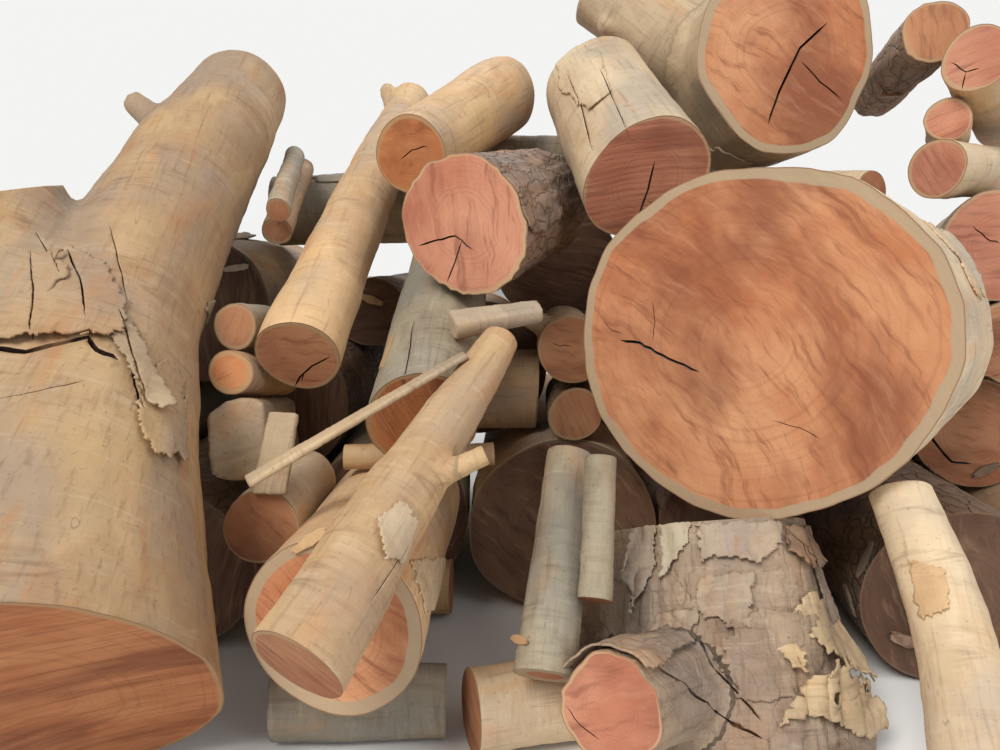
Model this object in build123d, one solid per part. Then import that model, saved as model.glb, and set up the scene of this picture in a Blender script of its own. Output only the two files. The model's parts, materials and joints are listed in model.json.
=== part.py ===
from build123d import *
import math
import os
import numpy as np

# The heap stands on a level floor at z = 0. X runs to the right across its front, Y runs away
# from the front into the heap, Z is up. Sizes are millimetres.
REST_GAP = 0.5           # daylight left where one log lies on another
AROUND = 24               # corners in each section of a thick log; thin ones get fewer
SAW_KERF_WANDER = 0.04    # how far a sawn end leans off square, as a slope

TRUNK_THICK = 410.0       # forked trunk, across its butt
TRUNK_FORK_THICK = 300.0  # and just under the fork
TRUNK_LENGTH = 590.0      # butt to fork
TRUNK_RISE = 44.0         # degrees it leans up the heap
TRUNK_LIMB_LENGTH = 720.0
ROUND_THICK = 540.0       # the big round log
ROUND_LENGTH = 420.0
CROTCH_THICK = 375.0      # the log with the heart-shaped end
CROTCH_LENGTH = 470.0
STUMP_FOOT = 370.0        # peeling stump, across its foot
STUMP_TOP = 330.0
STUMP_HEIGHT = 270.0
SLENDER_LENGTH = 1160.0
BRANCH_LENGTH = 570.0     # the branch that reaches forward in the middle
BASE_THICK = 330.0        # the large logs hidden at the bottom
BASE_LENGTH = 900.0
SECOND_THICK = 310.0      # and those of the layer on top of them
SECOND_LENGTH = 760.0


def unit(v):
    v = np.asarray(v, dtype=float)
    return v / np.linalg.norm(v)


class Stem:
    """One round, slightly crooked length of wood, in the log's own axes: x right, y along, z up.

    Its sections are many-sided and lofted with straight rulings. front and far are the slopes
    (sideways, upwards) of the two sawn ends, None for an end that is buried in another stem.
    torn adds planes to the far end: (sideways, upwards, shift along). knobs are (place along
    0..1, degrees round, height, spread). flats are lengthwise split faces: (degrees round,
    distance from the heart).
    """

    def __init__(self, start, end, thick, top, bow=0.0, arch=0.0, flare=0.0, oval=0.035, lobe=0.02,
                 sway=0.014, turn=0.0, front=(0.0, 0.0), far=(0.0, 0.0), torn=(), knobs=(),
                 flats=()):
        self.start, self.end = np.array(start, float), np.array(end, float)
        self.length = np.linalg.norm(self.end - self.start)
        self.axis = unit(self.end - self.start)
        ref = np.array((0.0, 0.0, 1.0)) if abs(self.axis[2]) < 0.9 else np.array((0.0, -1.0, 0.0))
        self.side = unit(np.cross(self.axis, ref))
        self.up = np.cross(self.side, self.axis)
        self.thick, self.top, self.bow, self.arch, self.flare = thick, top, bow, arch, flare
        self.oval, self.lobe, self.sway, self.turn = oval, lobe, sway, turn
        self.knobs, self.flats = knobs, flats
        reach = (thick / 2 + flare) * 1.15
        lean = [0.0 if e is None else math.hypot(*e) * reach + 6 for e in (front, far)]
        self.low, self.high = -lean[0] / self.length, 1 + lean[1] / self.length
        self.corners = AROUND if thick > 210 else 16 if thick > 90 else 12
        self.angles = np.linspace(0, 2 * math.pi, self.corners, endpoint=False)
        count = 4 + round(self.length / 300) + (3 if abs(bow) + abs(arch) > 12 else 0)
        marks = list(np.linspace(self.low, self.high, count))
        for place, _, _, spread in knobs:
            wide = spread / self.length
            marks = [m for m in marks if abs(m - place) > 1.2 * wide or m in (marks[0], marks[-1])]
            marks += [place + k * wide for k in (-1.2, -0.4, 0.4, 1.2)]
        self.marks = np.array(sorted(m for m in marks if self.low <= m <= self.high))
        self.table = np.array([self.skin_radius(m, self.angles) for m in self.marks])
        self.planes = []
        ends = [(0.0, front, -1.0)] + [(1.0, far, 1.0)]
        for place, slope, sign in ends:
            if slope is not None:
                n = unit(self.side * slope[0] + self.axis * sign + self.up * slope[1])
                self.planes.append((self.heart(np.array([place]))[0], n))
        for sideways, upward, shift in torn:
            n = unit(self.side * sideways + self.axis + self.up * upward)
            self.planes.append((self.heart(np.array([1.0]))[0] + self.axis * shift, n))

    def skin_radius(self, s, angle):
        """Distance from the heart to the skin at a corner of a section."""
        r = (self.thick * (1 - s) + self.top * s) / 2
        r = r + self.flare * math.exp(-max(s, 0.0) * self.length / (0.55 * self.thick))
        r = r * (1 + self.oval * np.cos(2 * (angle - self.turn))
                 + self.lobe * np.cos(3 * angle + 2.3 * self.turn + 1.5 * s)
                 + 0.4 * self.lobe * np.cos(7 * angle - 4.0 * self.turn + 2.0 * s)
                 + self.sway * np.sin(7.0 * s + 4.0 * self.turn)
                 + self.sway * np.cos(angle - 5.0 * s - self.turn))
        for place, degrees, height, spread in self.knobs:
            away = np.angle(np.exp(1j * (angle - math.radians(degrees))))
            r = r + height * np.exp(-((s - place) * self.length / spread) ** 2
                                    - (away * self.thick / 2 / spread) ** 2)
        return r

    def heart(self, s):
        """The crooked middle line; straight between the marks, as the ruled skin is."""
        bend = np.interp(s, self.marks, 4 * self.marks * (1 - self.marks))
        return (self.start + s[:, None] * (self.end - self.start)
                + bend[:, None] * (self.bow * self.side + self.arch * self.up))

    def radius(self, s, angle):
        """Distance from the heart to the flat-sided skin, s along and angle round."""
        i = np.clip(np.searchsorted(self.marks, s) - 1, 0, len(self.marks) - 2)
        t = (s - self.marks[i]) / (self.marks[i + 1] - self.marks[i])
        pitch = 2 * math.pi / self.corners
        place = np.mod(angle, 2 * math.pi) / pitch
        k = np.minimum(place.astype(int), self.corners - 1)
        turn, after = (place - k) * pitch, (k + 1) % self.corners
        a = self.table[i, k] * (1 - t) + self.table[i + 1, k] * t
        b = self.table[i, after] * (1 - t) + self.table[i + 1, after] * t
        return a * b * math.sin(pitch) / (a * np.sin(turn) + b * np.sin(pitch - turn))

    def outside(self, points):
        """How far each point is outside the wood; negative inside it."""
        along = (points - self.start) @ self.axis
        s = np.clip(along / self.length, self.low, self.high)
        off = points - self.heart(s)
        x, z = off @ self.side, off @ self.up
        out = np.hypot(x, z) - self.radius(s, np.arctan2(z, x))
        past = np.abs(along - s * self.length)
        out = np.where(past > 0.5, np.maximum(out, past), out)
        for degrees, offset in self.flats:
            a = math.radians(degrees)
            out = np.maximum(out, x * math.cos(a) + z * math.sin(a) - offset)
        for point, normal in self.planes:
            out = np.maximum(out, (points - point) @ normal)
        return out

    def skin(self):
        """Points spread over bark and sawn ends, close together along the corners."""
        close = 4 if self.corners == AROUND else 2
        around = np.linspace(0, 2 * math.pi, close * self.corners, endpoint=False)
        rows = np.unique(np.concatenate((np.arange(self.low, self.high, 6.0 / self.length),
                                         self.marks)))
        s, angle = (a.ravel() for a in np.meshgrid(rows, around, indexing="ij"))
        r = self.radius(s, angle)
        x, z = r * np.cos(angle), r * np.sin(angle)
        for degrees, offset in self.flats:
            a = math.radians(degrees)
            over = np.maximum(0.0, x * math.cos(a) + z * math.sin(a) - offset)
            x, z = x - over * math.cos(a), z - over * math.sin(a)
        points = self.heart(s) + x[:, None] * self.side + z[:, None] * self.up
        keep, grid = [points], points.reshape(len(rows), -1, 3)
        for point, normal in self.planes:
            off = (grid - point) @ normal
            cross = (off[:-1] * off[1:]) <= 0
            part = off[:-1] / np.where(off[:-1] == off[1:], 1, off[:-1] - off[1:])
            rim = (grid[:-1] + (grid[1:] - grid[:-1]) * part[..., None])[cross]
            for share in (0.0, 0.08, 0.2, 0.35, 0.5, 0.65, 0.8, 0.95):
                keep.append(rim + (point - rim) * share)
        points = np.vstack(keep)
        inside = np.ones(len(points), bool)
        for point, normal in self.planes:
            inside &= (points - point) @ normal < 0.02
        return points[inside]

    def solid(self):
        rings = []
        for s, radii in zip(self.marks, self.table):
            corners = (self.heart(np.array([s])) + (radii * np.cos(self.angles))[:, None] * self.side
                       + (radii * np.sin(self.angles))[:, None] * self.up)
            rings.append(Wire.make_polygon([Vector(*c) for c in corners], close=True))
        body = Solid.make_loft(rings, True)
        for point, normal in self.planes:
            body = keep_side(body, point, normal)
        for degrees, offset in self.flats:
            a = math.radians(degrees)
            normal = self.side * math.cos(a) + self.up * math.sin(a)
            body = keep_side(body, self.start + normal * offset, normal)
        return body


def keep_side(body, point, normal):
    """Saws a body along a plane and keeps what lies behind it."""
    out = body.split(Plane(origin=Vector(*point), z_dir=Vector(*normal)), keep=Keep.BOTTOM)
    solids = out.solids() if hasattr(out, "solids") else ShapeList(out)
    return max(solids, key=lambda one: one.volume)


class Log:
    """A log made of one or more stems, with its place in the heap."""

    def __init__(self, name, butt, heading, rise, stems, roll=0.0, checks=()):
        self.name, self.stems, self.checks = name, stems, checks
        self.origin = np.array(butt, float)
        h, r, t = (math.radians(a) for a in (heading, rise, roll))
        along = np.array((math.sin(h) * math.cos(r), math.cos(h) * math.cos(r), math.sin(r)))
        side = np.array((math.cos(h), -math.sin(h), 0.0))
        up = np.cross(side, along)
        self.axes = np.array((side * math.cos(t) + up * math.sin(t), along,
                              up * math.cos(t) - side * math.sin(t)))
        parts = []
        for stem in stems:
            points = stem.skin()
            for other in stems:
                if other is not stem:
                    points = points[other.outside(points) > -1.0]
            parts.append(points)
        self.own = np.vstack(parts)
        bulk = np.array([stem.length * (stem.thick + stem.top) ** 2 for stem in stems])
        middles = np.array([(stem.start + stem.end) / 2 for stem in stems])
        self.centre = (middles * bulk[:, None]).sum(0) / bulk.sum()
        self.update()

    def update(self):
        self.points = self.origin + self.own @ self.axes
        self.low, self.high = self.points.min(0), self.points.max(0)

    def outside(self, points):
        local = (points - self.origin) @ self.axes.T
        return np.min([stem.outside(local) for stem in self.stems], axis=0)

    def move(self, by):
        self.origin = self.origin + by
        self.update()

    def tip(self, pivot, axis, angle):
        """Turns the log about a level axis through a pivot."""
        c, s = math.cos(angle), math.sin(angle)
        x, y, z = axis
        cross = np.array(((0, -z, y), (z, 0, -x), (-y, x, 0)))
        turn = np.eye(3) + s * cross + (1 - c) * cross @ cross
        self.origin = pivot + turn @ (self.origin - pivot)
        self.axes = self.axes @ turn.T
        self.update()

    def solid(self):
        body = self.stems[0].solid()
        for stem in self.stems[1:]:
            body = body.fuse(stem.solid())
        for face, path, width, deep in self.checks:
            body = body.cut(drying_check(self.stems[0], face, path, width, deep))
        solids = body.solids()
        body = max(solids, key=lambda one: one.volume)
        place = Plane(origin=Vector(*self.origin), x_dir=Vector(*self.axes[0]),
                      z_dir=Vector(*self.axes[2]))
        return body.moved(place.location)


def drying_check(stem, face, path, width, deep):
    """A crack in a sawn end: a thin crooked wedge along a path given in shares of the radius."""
    point, normal = stem.planes[face]
    right = unit(np.cross(stem.up, -normal)) * (1 if face == 0 else -1)
    up = unit(np.cross(-normal, right)) * (1 if face == 0 else -1)
    r = stem.thick / 2 if face == 0 else stem.top / 2
    way = np.array(path, float) * r
    left, other = [], []
    for i, p in enumerate(way):
        run = unit(way[min(i + 1, len(way) - 1)] - way[max(i - 1, 0)])
        half = width / 2 * math.sin(math.pi * (i + 0.15) / (len(way) - 0.7))
        left.append(p + half * np.array((-run[1], run[0])))
        other.append(p - half * np.array((-run[1], run[0])))
    outline = left + other[::-1]
    world = [Vector(*(point + normal * 2 + right * x + up * z)) for x, z in outline]
    wire = Wire.make_polygon(world, close=True)
    return Solid.extrude(Face(wire), Vector(*(-normal * (deep + 2))))


LAID = []


def watch(log, stride, reach, part=None):
    """Pairs of bodies and points near enough to matter while a log moves less than reach."""
    pairs = []
    for other in LAID:
        if other is log:
            continue
        if (other.low > log.high + reach).any() or (other.high < log.low - reach).any():
            continue
        for body, owner in ((other, log), (log, other)):
            rows = np.arange(0, len(owner.points), stride)
            cloud = owner.points[rows]
            near = ((cloud > body.low - reach) & (cloud < body.high + reach)).all(1)
            if part is not None:
                near &= part(cloud)
            rows = rows[near]
            if len(rows):
                rows = rows[body.outside(owner.points[rows]) < reach]
            if len(rows):
                pairs.append((body, owner, rows))
    return pairs


def clearance(log, pairs, most, part=None, floor=True):
    """Smallest way left between a log and the floor or any log near it, and where that is."""
    points = log.points if part is None else log.points[part(log.points)]
    lowest = points[:, 2].argmin()
    best, spot = most, points[lowest]
    if floor:
        best = min(points[lowest, 2] + REST_GAP, most)
    for body, owner, rows in pairs:
        out = body.outside(owner.points[rows])
        least = out.argmin()
        if out[least] < best:
            best, spot = out[least], owner.points[rows[least]]
    return best, spot


def slide(log, way, fine=True):
    """Moves a log along a direction until it just touches, or back until it is clear."""
    way, spot = unit(way), None
    for stride, reach, close in ((8, 60.0, 1.0), (1, 12.0, 0.06))[:2 if fine else 1]:
        moved, pairs = reach, None
        for _ in range(60):
            if pairs is None or moved > reach / 2:
                pairs, moved = watch(log, stride, reach), 0.0
            gap, spot = clearance(log, pairs, reach - moved, floor=way[2] < 0)
            step = gap - REST_GAP
            if abs(step) < close:
                break
            step = min(step, reach / 2)
            log.move(way * step)
            moved += abs(step)
    return spot


def nestle(log, sideways, most=140.0):
    """Rolls a log that lies on a flank down into the hollow beside it."""
    slide(log, (0, 0, -1), fine=False)
    gone = 0.0
    for step in (12.0, 4.0, 1.3):
        way = 0
        while abs(gone) < most:
            here, found = log.origin.copy(), False
            for sign in ((1, -1) if way == 0 else (way,)):
                log.move(np.array(sideways) * sign * step)
                slide(log, (0, 0, -1), fine=step < 2)
                if log.origin[2] < here[2] - 0.05 * step:
                    gone, way, found = gone + sign * step, sign, True
                    break
                log.move(here - log.origin)
            if not found:
                break
    slide(log, (0, 0, -1))


def tilt_down(log, most=14.0):
    """Lets the heavy end of a log sink about its first rest until it finds a second."""
    spot = slide(log, (0, 0, -1))
    along = unit((log.axes[1][0], log.axes[1][1], 0.0))
    heavy = (log.origin + log.centre @ log.axes - spot) @ along
    if abs(heavy) < 8:
        return
    axis = np.array((along[1], -along[0], 0.0)) * (-1 if heavy > 0 else 1)
    clear = 0.14 * np.ptp(log.points @ along)
    arm = np.abs((log.points - spot) @ along).max()

    def beyond(points):
        return ((points - spot) @ along) * np.sign(heavy) > clear

    turned = 0.0
    for stride, reach, close in ((8, 60.0, 1.0), (1, 12.0, 0.1)):
        moved, pairs = reach, None
        for _ in range(60):
            if pairs is None or moved > reach / 2:
                pairs, moved = watch(log, stride, reach, beyond), 0.0
            step = clearance(log, pairs, reach - moved, beyond)[0] - REST_GAP
            if step < close or turned > math.radians(most):
                break
            step = min(step, reach / 2)
            log.tip(spot, axis, step / arm)
            moved += step
            turned += step / arm
    slide(log, (0, 0, -1))


def lay(name, butt, heading, rise, length, thick, top=None, rest="drop", roll=0.0, limbs=(),
        checks=(), way=(0, 0, -1), **shape):
    """Makes a log and lets it come to rest on what is already laid."""
    top = thick * 0.93 if top is None else top
    turn = 0.7 + 1.9 * (len(LAID) % 11)
    lean = SAW_KERF_WANDER
    shape.setdefault("turn", turn)
    shape.setdefault("front", (lean * math.sin(turn), lean * math.cos(turn)))
    shape.setdefault("far", (lean * math.cos(2 * turn), -lean * math.sin(turn)))
    stems = [Stem((0, 0, 0), (0, length, 0), thick, top, **shape)] + list(limbs)
    log = Log(name, butt, heading, rise, stems, roll, checks)
    if rest == "drop":
        slide(log, way)
    elif rest == "nestle":
        nestle(log, log.axes[0] if abs(log.axes[0][2]) < 0.2 else np.array((1.0, 0.0, 0.0)))
    elif rest == "tilt":
        tilt_down(log)
    elif rest == "lean":
        slide(log, (0, 0, -1))
        slide(log, (0, 1, 0))
        slide(log, (0, 0, -1))
    LAID.append(log)
    return log


def side_by_side(name, x, y, heading, length, thick, **more):
    """Lays a log on the floor and pushes it left against the last one."""
    lay(name, (x + 150, y, thick / 2), heading, 0, length, thick, **more)
    slide(LAID[-1], (-1, 0, 0))


# The bottom layer, lying on the floor side by side.
lay("base_log_far_left", (-880, 1330, 150), 4, 0, BASE_LENGTH * 0.8, BASE_THICK * 0.8)
side_by_side("base_log_left", -540, 1260, 3, BASE_LENGTH, BASE_THICK * 0.98)
side_by_side("base_log_mid_left", -200, 1450, -2, BASE_LENGTH * 0.85, BASE_THICK)
side_by_side("base_log_middle", 180, 1410, 1, BASE_LENGTH * 0.95, BASE_THICK * 1.08)
side_by_side("base_log_mid_right", 560, 1430, -1, BASE_LENGTH * 0.9, BASE_THICK * 0.92)
side_by_side("base_log_right", 900, 1150, 3, BASE_LENGTH, BASE_THICK * 0.92)
side_by_side("base_log_far_right", 1230, 1230, 6, BASE_LENGTH * 0.85, BASE_THICK * 0.8)
lay("floor_log_front", (-330, 1015, 70), 88, 0, 250, 112)
lay("floor_log_rear", (-335, 1300, 70), 90, 0, 240, 114)
slide(LAID[-1], (0, 1, 0))

# The low logs at the front.
lay("low_red_log", (-213, 900, 230), 3, 0, 540, 236, 220, rest="tilt")
slide(LAID[-1], (0, 1, 0))
lay("peeling_stump", (345, 1095, 8), -6, 60, STUMP_HEIGHT, STUMP_FOOT, STUMP_TOP, rest="drop",
    flare=22.0, oval=0.05, lobe=0.05, front=(0.0, -0.577), far=(0.0, 0.06),
    knobs=[(0.45, 200, 26, 60), (0.7, 300, 18, 50)],
    limbs=[Stem((-40, 40, 60), (-235, 20, 270), 150, 132, front=None, turn=2.0)])
lay("floor_chunk", (-62, 985, 75), 76, 0, 190, 126)
slide(LAID[-1], (1, 0, 0))

# The second layer, in the hollows of the first.
lay("second_log_far_left", (-730, 1420, 420), 3, 0, SECOND_LENGTH * 0.9, SECOND_THICK * 0.75,
    rest="nestle")
lay("second_log_left", (-430, 1530, 560), 2, 0, SECOND_LENGTH * 0.9, SECOND_THICK * 0.82, rest="nestle")
lay("second_log_mid_left", (-90, 1660, 560), -2, 0, SECOND_LENGTH * 0.8, SECOND_THICK,
    rest="nestle")
lay("second_log_mid_right", (255, 1715, 560), 2, 0, SECOND_LENGTH * 0.8, SECOND_THICK,
    rest="nestle")
lay("second_log_right", (570, 1705, 560), 0, 0, SECOND_LENGTH * 0.8, SECOND_THICK, rest="nestle")
lay("dark_cracked_log", (875, 1469, 400), 6, 0, 600, 225, rest="nestle")
lay("prop_log", (-235, 1545, 450), 92, 0, 310, 170, rest="drop")
lay("big_round_log", (352, 1100, 640), 37, 1, ROUND_LENGTH, ROUND_THICK, ROUND_THICK * 0.97,
    rest="tilt", oval=0.04, lobe=0.018,
    checks=[(0, [(-0.72, 0.02), (-0.6, 0.05), (-0.47, -0.03)], 7, 40)])
lay("wedge_stick", (-260, 1230, 380), 86, 0, 250, 44, rest="drop")
lay("mid_grey_log", (-123, 1136, 460), 2, 17, 545, 182, 168, rest="tilt")
lay("small_dark_log", (142, 1408, 420), 2, 0, 235, 106, 100, rest="drop")
lay("stubbed_log", (134, 1402, 545), 2, 0, 240, 130, 124, rest="drop",
    limbs=[Stem((-20, 70, 20), (-92, 40, 62), 48, 40, front=None, turn=0.8)])

# The third layer at the back.
lay("third_log_left", (-600, 1600, 700), 0, 0, 600, 300, rest="nestle")
lay("third_log_mid_left", (-270, 1720, 700), 3, 0, 520, 165, rest="nestle")
lay("third_log_mid_right", (85, 1830, 760), -2, 0, 430, 300, rest="nestle")
lay("rear_rest_log", (-560, 1960, 800), 88, 0, 480, 175, rest="drop")
lay("third_log_right", (430, 1700, 760), 3, 0, 560, 275, rest="nestle")
lay("third_log_far_right", (760, 1530, 650), 3, 0, 560, 130, rest="nestle")

lay("back_cross_log", (-120, 1900, 900), 88, 0, 520, 120, rest="drop")

# The logs seen in the middle, from low to high.
lay("red_face_log", (-59, 1301, 754), 20, -2, 430, 230, 220, rest="tilt")
lay("split_face_log", (268, 1412, 799), -9, 18, 430, 240, 215, rest="tilt")
lay("upper_pale_log", (-165, 1440, 870), 22, 22, 470, 146, 180, rest="tilt")
lay("striped_log", (712, 1500, 842), -28, 5, 340, 98, 92, rest="drop")
lay("crotch_log", (578, 1579, 1045), -4, 4, CROTCH_LENGTH, CROTCH_THICK, 330, rest="tilt",
    lobe=0.05, limbs=[
        Stem((-30, 160, -20), (-320, 265, 235), 225, 190, front=None, turn=1.0),
        Stem((-200, 215, 110), (-345, 205, 125), 62, 46, front=None, turn=0.4, torn=[(0.5, 0.2, 4)])])

# The right-hand side.
lay("rough_right_log", (962, 1395, 534), 20, 3, 500, 170, 160, rest="tilt")
lay("right_pale_log", (925, 1415, 729), 25, 12, 600, 205, 190, rest="tilt")
lay("pale_limb_log", (811, 1460, 866), 50, 10, 430, 110, 100, rest="tilt")
lay("small_split_log", (849, 1500, 984), 30, 13, 450, 85, 80, rest="tilt")
lay("small_top_log", (860, 1455, 1028), 38, 10, 520, 120, 115, rest="tilt")
lay("dark_bark_log", (845, 1560, 1000), 12, 10, 442, 120, 110, rest="tilt")

lay("forked_trunk", (-560, 790, 190), -12, TRUNK_RISE, TRUNK_LENGTH, TRUNK_THICK,
    TRUNK_FORK_THICK, rest="tilt", flare=32.0, front=(0.0, 0.06), far=None,
    limbs=[Stem((0, TRUNK_LENGTH - 70, 0), (180, TRUNK_LENGTH + TRUNK_LIMB_LENGTH, 0), 290,
                215, arch=20, turn=1.0, front=None),
           Stem((-20, TRUNK_LENGTH - 150, 0), (-170, TRUNK_LENGTH + 190, 95), 265, 225, turn=2.0,
                front=None, far=(0.3, -0.35), torn=[(-0.7, 0.2, 12), (0.1, 0.8, 22)]),
           Stem((110, TRUNK_LENGTH + 450, 30), (-15, TRUNK_LENGTH + 570, 75), 66, 46, turn=0.3,
                front=None)])

# The small stuff between the trunk and the middle.
lay("gap_round_log", (-372, 1128, 330), 4, -4, 213, 125, 120, rest="tilt")
lay("gap_split_block", (-432, 1216, 416), -5, -5, 300, 140, 128, rest="tilt",
    flats=[(5, 44), (185, 50)])
lay("gap_knot_log", (-446, 1234, 521), 2, 0, 254, 80, 75, rest="tilt")
lay("gap_brown_log", (-452, 1280, 584), 2, 10, 230, 80, 75, rest="tilt")
lay("gap_dark_log", (-440, 1512, 776), -6, 5, 400, 62, 58, rest="tilt")
lay("gap_slim_log", (-425, 1480, 850), -8, 15, 347, 50, 46, rest="tilt")
lay("slender_log", (-335, 1246, 510), 5, 34, SLENDER_LENGTH, 150, 105, rest="tilt", arch=15.0,
    knobs=[(0.55, 20, 9, 45)],
    limbs=[Stem((0, SLENDER_LENGTH - 190, 0), (-75, SLENDER_LENGTH + 25, 20), 62, 44, front=None,
                turn=1.2, torn=[(0.6, 0.0, 8)])])

# The front pieces.
lay("front_branch", (-215, 733, 269), 26, 30, BRANCH_LENGTH, 115, 58, rest="drop",
    knobs=[(0.42, 150, 7, 34)], limbs=[
        Stem((0, 250, 0), (84, 322, 8), 44, 30, front=None, turn=1.0, torn=[(-0.5, 0.2, 6)])])
lay("short_split_piece", (-80, 1205, 620), 72, 24, 150, 52, 40, rest="tilt", flats=[(60, 14)])
lay("upright_green_log", (60, 925, 130), 12, 46, 330, 84, 72, rest="lean")
lay("grey_branch", (128, 960, 150), 10, 57, 200, 50, 46, rest="lean")
lay("bent_branch", (528, 680, 60), 7, 48, 450, 105, 84, rest="lean", bow=32.0)

# Loose strips of bark and split slabs, lying where they fell.
lay("long_bark_strip", (-338, 975, 335), 66, 26, 350, 40, 30, rest="drop", flats=[(90, 5), (270, 5)])
lay("pale_slab", (-352, 1110, 440), 10, 62, 130, 58, 50, rest="drop", flats=[(90, 6), (270, 6)])

# Writes one file for each log, with the heap centred on the origin.
low = np.min([log.low for log in LAID], axis=0)
high = np.max([log.high for log in LAID], axis=0)
middle = Location(Vector(-(low[0] + high[0]) / 2, -(low[1] + high[1]) / 2, 0))
os.makedirs("parts", exist_ok=True)
for log in LAID:
    export_step(log.solid().moved(middle), f"parts/{log.name}.step")
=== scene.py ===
import json
import math

import bpy
import numpy as np
from mathutils import Matrix, Vector, noise
from mathutils.bvhtree import BVHTree

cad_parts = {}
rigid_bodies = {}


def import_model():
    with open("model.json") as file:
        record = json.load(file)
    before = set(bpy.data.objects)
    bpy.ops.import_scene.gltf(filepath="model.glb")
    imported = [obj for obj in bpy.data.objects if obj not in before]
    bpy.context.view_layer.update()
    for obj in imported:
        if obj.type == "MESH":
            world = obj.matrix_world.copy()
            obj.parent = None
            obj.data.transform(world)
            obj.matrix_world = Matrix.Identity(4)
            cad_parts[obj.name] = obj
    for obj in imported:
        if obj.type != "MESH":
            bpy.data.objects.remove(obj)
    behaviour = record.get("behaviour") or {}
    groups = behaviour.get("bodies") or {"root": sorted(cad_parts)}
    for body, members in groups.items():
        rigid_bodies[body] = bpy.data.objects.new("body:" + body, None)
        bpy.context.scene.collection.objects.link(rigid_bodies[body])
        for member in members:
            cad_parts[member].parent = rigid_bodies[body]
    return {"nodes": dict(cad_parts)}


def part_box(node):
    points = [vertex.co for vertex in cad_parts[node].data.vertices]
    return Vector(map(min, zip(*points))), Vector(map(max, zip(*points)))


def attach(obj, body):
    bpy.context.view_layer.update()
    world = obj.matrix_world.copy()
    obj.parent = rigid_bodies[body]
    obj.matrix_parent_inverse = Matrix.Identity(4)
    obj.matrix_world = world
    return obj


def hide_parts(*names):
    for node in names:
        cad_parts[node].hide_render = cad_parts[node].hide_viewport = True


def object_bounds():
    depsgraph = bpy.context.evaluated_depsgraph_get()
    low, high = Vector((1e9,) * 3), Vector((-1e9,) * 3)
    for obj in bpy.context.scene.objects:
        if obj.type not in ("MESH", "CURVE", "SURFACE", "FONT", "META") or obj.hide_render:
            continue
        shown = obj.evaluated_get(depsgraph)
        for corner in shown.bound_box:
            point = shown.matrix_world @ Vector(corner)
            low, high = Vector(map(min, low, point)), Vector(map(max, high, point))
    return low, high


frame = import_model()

cad_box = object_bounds()

# The eye's place in metres, how far it looks down in degrees, and the lens in millimetres.
EYE = (-0.1315, -1.491, 0.72)
LOOK_DOWN = 9.9
LENS = 27.36
# The view that cracks, plates and chips are placed in: its middle, and how far apart two places
# are that lie one metre apart at one metre from the eye.
VIEW_MIDDLE_U, VIEW_MIDDLE_V = 500, 375
VIEW_REACH = 760


# Shader helpers.

def add(tree, kind, **values):
    node = tree.nodes.new(kind)
    for key, value in values.items():
        setattr(node, key, value)
    return node


def link(tree, a, b):
    tree.links.new(a, b)


def math_node(tree, op, a, b=None, clamp=False):
    node = add(tree, "ShaderNodeMath", operation=op, use_clamp=clamp)
    for socket, value in zip(node.inputs, (a, b)):
        if value is None:
            continue
        if isinstance(value, (int, float)):
            socket.default_value = value
        else:
            link(tree, value, socket)
    return node.outputs[0]


def times(tree, a, b, clamp=False):
    return math_node(tree, "MULTIPLY", a, b, clamp)


def spread(tree, value, low, high, out_low=0.0, out_high=1.0):
    node = add(tree, "ShaderNodeMapRange")
    link(tree, value, node.inputs["Value"])
    node.inputs["From Min"].default_value = low
    node.inputs["From Max"].default_value = high
    node.inputs["To Min"].default_value = out_low
    node.inputs["To Max"].default_value = out_high
    return node.outputs["Result"]


def blend_colour(tree, factor, a, b, kind="MIX"):
    node = add(tree, "ShaderNodeMix", data_type="RGBA", blend_type=kind)
    for socket, value in ((node.inputs[0], factor), (node.inputs[6], a), (node.inputs[7], b)):
        if isinstance(value, (int, float)):
            socket.default_value = value
        elif isinstance(value, tuple):
            socket.default_value = (*value, 1.0)
        else:
            link(tree, value, socket)
    return node.outputs[2]


def grain(tree, vector, scale, detail=4.0, rough=0.55, stretch=None, warp=0.0):
    if stretch is not None:
        place = add(tree, "ShaderNodeMapping")
        place.inputs["Scale"].default_value = stretch
        link(tree, vector, place.inputs["Vector"])
        vector = place.outputs["Vector"]
    node = add(tree, "ShaderNodeTexNoise")
    node.inputs["Scale"].default_value = scale
    node.inputs["Detail"].default_value = detail
    node.inputs["Roughness"].default_value = rough
    node.inputs["Distortion"].default_value = warp
    link(tree, vector, node.inputs["Vector"])
    return node.outputs["Fac"]


def read(tree, name, kind="Fac"):
    node = add(tree, "ShaderNodeAttribute", attribute_name=name)
    return node.outputs[kind]


def group(name, inputs, outputs):
    tree = bpy.data.node_groups.new(name, "ShaderNodeTree")
    for word, kind, value in inputs:
        socket = tree.interface.new_socket(word, in_out="INPUT", socket_type=kind)
        if value is not None:
            socket.default_value = value
    for word, kind in outputs:
        tree.interface.new_socket(word, in_out="OUTPUT", socket_type=kind)
    return tree, add(tree, "NodeGroupInput"), add(tree, "NodeGroupOutput")


COLOUR, NUMBER = "NodeSocketColor", "NodeSocketFloat"


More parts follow.
